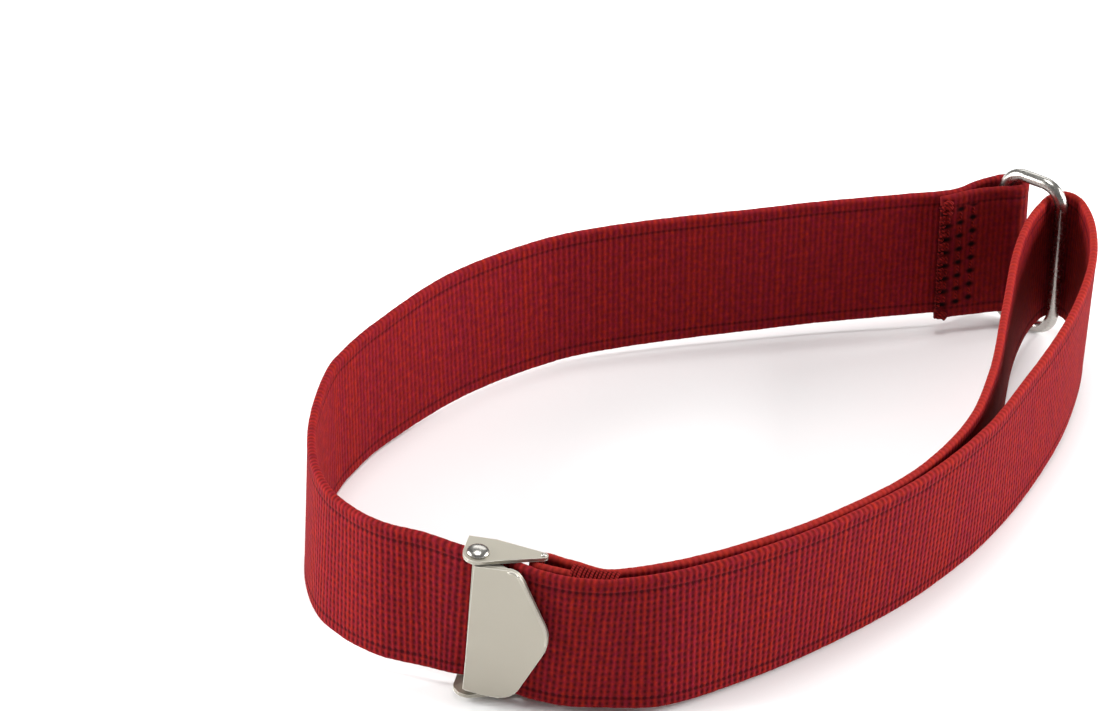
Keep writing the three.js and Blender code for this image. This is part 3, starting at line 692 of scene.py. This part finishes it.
# Painted highlight: sharp edges, found by their pointiness, are painted near white.
edge_highlight = node(tree, "ShaderNodeNewGeometry", output="Pointiness")
edge_highlight = node(tree, "ShaderNodeMapRange", {0: edge_highlight, 1: 0.52, 2: 0.62})
tone = node(tree, "ShaderNodeMix", {0: edge_highlight, 6: tone, 7: linear("#e0ddd4")}, 2, data_type="RGBA")
tree.links.new(tone, surface.inputs["Base Color"])
dull = node(tree, "ShaderNodeMapRange", {0: mottle, 1: 0.3, 2: 0.7, 3: 0.5, 4: 0.62})
tree.links.new(dull, surface.inputs["Roughness"])
relief = node(tree, "ShaderNodeBump", {"Height": grain, "Distance": 0.01 * MM, "Strength": 0.5})
tree.links.new(relief, surface.inputs["Normal"])
surface.inputs["Metallic"].default_value = 1.0
metal_piece("clip_frame_pressed", bm, 0.2, satin, "band", "nickel_frame", "clip_frame")


def turned(name, profile, steps, material, body, slot, *nodes):
    """A piece turned about the hinge's direction, from rows of radius, height and the axis's x and y."""
    bm = bmesh.new()
    rings = []
    for radius, height, x, y in profile:
        if radius == 0:
            rings.append([bm.verts.new((x * MM, y * MM, height * MM))])
            continue
        turns = np.linspace(0, math.tau, steps, endpoint=False)
        round_at = [(x + radius * math.cos(a), y + radius * math.sin(a), height) for a in turns]
        rings.append([bm.verts.new(Vector(point) * MM) for point in round_at])
    for low_ring, high_ring in zip(rings, rings[1:]):
        for k in range(steps):
            n = (k + 1) % steps
            corners = [low_ring[k % len(low_ring)], low_ring[n % len(low_ring)],
                       high_ring[n % len(high_ring)], high_ring[k % len(high_ring)]]
            bm.faces.new(list(dict.fromkeys(corners)))
    return metal_piece(name, bm, 0, material, body, slot, *nodes)


def domed_end(radius, seat, height, sign, x=0, y=0, steps=9):
    """Profile of a dome from its rim to its crown."""
    turns = [math.pi / 2 * (1 - i / steps) for i in range(steps)]
    rows = [(radius * math.sin(t), sign * (seat + height * math.cos(t)), x, y) for t in turns]
    return rows + [(0, sign * (seat + height), x, y)]


BAR_DOME = 0.22
bar_end = EAR_INNER + SHEET
turned("end_bar_wire", [
    *domed_end(END_BAR_RADIUS, bar_end, BAR_DOME, -1, *END_BAR)[::-1],
    *domed_end(END_BAR_RADIUS, bar_end, BAR_DOME, 1, *END_BAR),
], 20, bright, "band", "nickel_frame")


# Hinge pin
# Steel pin through both ears and the lever, with a polished domed head above and its lower end
# riveted over.
PIN_RADIUS = 0.45
PIN_CLEARANCE = 0.15
PIN_HEAD = (1.4, 0.6)
PIN_TAIL = (0.95, 0.25)
pin_seat = EAR_INNER + SHEET + PIN_CLEARANCE
turned("hinge_pin_domed", [
    *domed_end(PIN_TAIL[0], pin_seat, PIN_TAIL[1], -1)[::-1],
    (PIN_RADIUS, -pin_seat + 0.001, 0, 0), (PIN_RADIUS, pin_seat - 0.001, 0, 0),
    *domed_end(PIN_HEAD[0], pin_seat, PIN_HEAD[1], 1),
], 40, bright, "band", "bright_pin", "hinge_pin")


# Clip lever
# Pressed nickel-plated steel: a front plate that comes to a point, with a raised lip from its upper
# corner to the point, two side lugs bent back to the hinge pin, and a toothed cam that bites the strip.
LEVER_TOP, LEVER_BOTTOM = 10, -9.8
LEVER_FRONT = -1.85
LEVER_SPLAY = math.radians(-7)
BARREL_RADIUS = 0.95


def bend(a, b, c, steps):
    """Points of a quadratic curve from a to c, without its first."""
    a, b, c = (np.array(p) for p in (a, b, c))
    turns = np.linspace(0, 1, steps + 1)[1:]
    return [tuple((1 - t) ** 2 * a + 2 * t * (1 - t) * b + t * t * c) for t in turns]


plate = [(-0.15, LEVER_TOP), (4.0, LEVER_TOP + 0.45)]
plate += bend(plate[-1], (5.3, LEVER_TOP + 0.7), (6.1, 9.3), 8)
plate += [(9.2, 3.2)]
plate += bend(plate[-1], (10.25, 1.1), (9.3, -1.3), 10)
plate += [(6.6, -7.6)]
plate += bend(plate[-1], (5.8, -9.3), (3.9, -9.6), 8)
plate += bend(plate[-1], (1.8, -9.9), (-0.45, LEVER_BOTTOM + 0.3), 8)
splay = Matrix.Rotation(LEVER_SPLAY, 4, "Z")


def on_plate(x, z, out):
    """Point in mm of the plate's own plane, and how far it stands out of it."""
    return splay @ Vector((x, -out, z)) + Vector((0, LEVER_FRONT, 0))


bm = bmesh.new()
face = [bm.verts.new(on_plate(x, z, 0) * MM) for x, z in plate]
back = [bm.verts.new(on_plate(x, z, -SHEET) * MM) for x, z in plate]
flats = [bm.faces.new(face), bm.faces.new(back[::-1])]
for i in range(len(plate)):
    k = (i + 1) % len(plate)
    bm.faces.new((face[i], back[i], back[k], face[k]))
bmesh.ops.inset_individual(bm, faces=flats, thickness=HIGHLIGHT_EDGE_INSET * MM, use_even_offset=True)
# The lip: a bead along the free edge, from the upper corner to the point.
LIP_RADIUS = 0.2
LIP_INSET = 0.24
free_edge = [p for p in plate if p[0] > 3.9 and p[1] > 0]
lip = []
for i, (x, z) in enumerate(free_edge):
    before, after = free_edge[max(i - 1, 0)], free_edge[min(i + 1, len(free_edge) - 1)]
    run = np.array(after) - np.array(before)
    run /= np.linalg.norm(run)
    lip.append(on_plate(x + run[1] * LIP_INSET, z - run[0] * LIP_INSET, 0))
bead = swept_mesh("lip", thread_sections(lip, LIP_RADIUS, 16))
bm.from_mesh(bead.data)
bpy.data.objects.remove(bead)

# Two lugs join the plate to the cam above and below, and a web behind its edge joins them between.
lug = [(-0.15, LEVER_FRONT + 0.2), (4.1, LEVER_FRONT - 0.35), (4.1, -1.3), (1.1, 0.2), (0.6, 0.7),
       (-0.6, 0.7), (-0.5, 0)]
web = [(0, LEVER_FRONT + 0.25), (0.4, LEVER_FRONT + 0.25), (0.4, -0.6), (0, -0.6)]
pressed(bm, lug, LEVER_TOP - SHEET, LEVER_TOP)
pressed(bm, lug, LEVER_BOTTOM, LEVER_BOTTOM + SHEET)
pressed(bm, web, LEVER_BOTTOM + 0.1, LEVER_TOP - 0.1)
# The cam: a barrel round the pin with its outer side cut flat and its other sides cut into low teeth.
TEETH = 14
TOOTH_DEPTH = 0.16
CAM_FLAT = -0.5
teeth = []
for i in range(2 * TEETH):
    radius = BARREL_RADIUS - TOOTH_DEPTH * (i % 2)
    turn = math.pi * i / TEETH
    teeth.append((max(CAM_FLAT, radius * math.cos(turn)), radius * math.sin(turn)))
pressed(bm, teeth, LEVER_BOTTOM, LEVER_TOP)
metal_piece("clip_lever_pressed", bm, 0.12, satin, "lever", "nickel_lever", "clip_lever")


# Floor, light and camera
# A seamless white table between two low soft boxes, left and right, with a small one above and one
# behind, seen from the photograph's angle: 31.6 degrees down through a long lens.
FLOOR = 3.0
floor_mesh = bpy.data.meshes.new("white_table")
corners = [(-FLOOR, -FLOOR, 0), (FLOOR, -FLOOR, 0), (FLOOR, FLOOR, 0), (-FLOOR, FLOOR, 0)]
floor_mesh.from_pydata(corners, [], [(0, 1, 2, 3)])
floor = bpy.data.objects.new("white_table", floor_mesh)
bpy.context.scene.collection.objects.link(floor)

# Matt white laminate: even and bright, with specks too faint to see as a pattern.
white, tree, surface = new_material("matt_white_laminate")
speck = node(tree, "ShaderNodeTexNoise", {"Scale": 60.0, "Detail": 2.0})
white_tone = node(tree, "ShaderNodeMix", {0: speck, 6: linear("#f8f8f8"), 7: linear("#fcfcfc")}, 2,
                  data_type="RGBA")
tree.links.new(white_tone, surface.inputs["Base Color"])
surface.inputs["Roughness"].default_value = 0.9
surface.inputs["Specular IOR Level"].default_value = 0.1
floor_mesh.materials.append(white)


def soft_box(name, place, aim, size, power):
    light = bpy.data.lights.new(name, "AREA")
    light.shape = "RECTANGLE"
    light.size, light.size_y = size
    light.energy = power
    lamp = bpy.data.objects.new(name, light)
    lamp.location = place
    lamp.rotation_euler = (Vector(aim) - Vector(place)).to_track_quat("-Z", "Y").to_euler()
    bpy.context.scene.collection.objects.link(lamp)


soft_box("soft_box_left", (-0.62, 0.02, 0.22), (0, 0, 0.01), (0.4, 0.36), 6.8)
soft_box("soft_box_right", (0.62, 0.02, 0.22), (0, 0, 0.01), (0.4, 0.36), 6.8)
soft_box("soft_box_above", (0, 0.05, 0.9), (0, 0, 0), (0.35, 0.35), 4.2)
soft_box("soft_box_behind", (0.12, 0.8, 0.6), (-0.02, -0.04, 0.02), (0.7, 0.4), 2.0)
world = bpy.data.worlds.new("studio")
world.use_nodes = True
world.node_tree.nodes["Background"].inputs[0].default_value = (1, 1, 1, 1)
world.node_tree.nodes["Background"].inputs[1].default_value = 0.2
bpy.context.scene.world = world
bpy.context.scene.view_settings.view_transform = "Standard"

CAMERA_BACK, CAMERA_HEIGHT = 440.58, 270.9
LOOK_DOWN = 31.586
camera_data = bpy.data.cameras.new("camera")
camera_data.lens = 117.2
camera_data.sensor_width = 36
camera_data.clip_start = 0.01
camera = bpy.data.objects.new("camera", camera_data)
camera.location = (MM * plan_shift[0], MM * (plan_shift[1] - CAMERA_BACK), MM * CAMERA_HEIGHT)
camera.rotation_euler = (math.radians(90 - LOOK_DOWN), 0, 0)
bpy.context.scene.collection.objects.link(camera)
bpy.context.scene.camera = camera
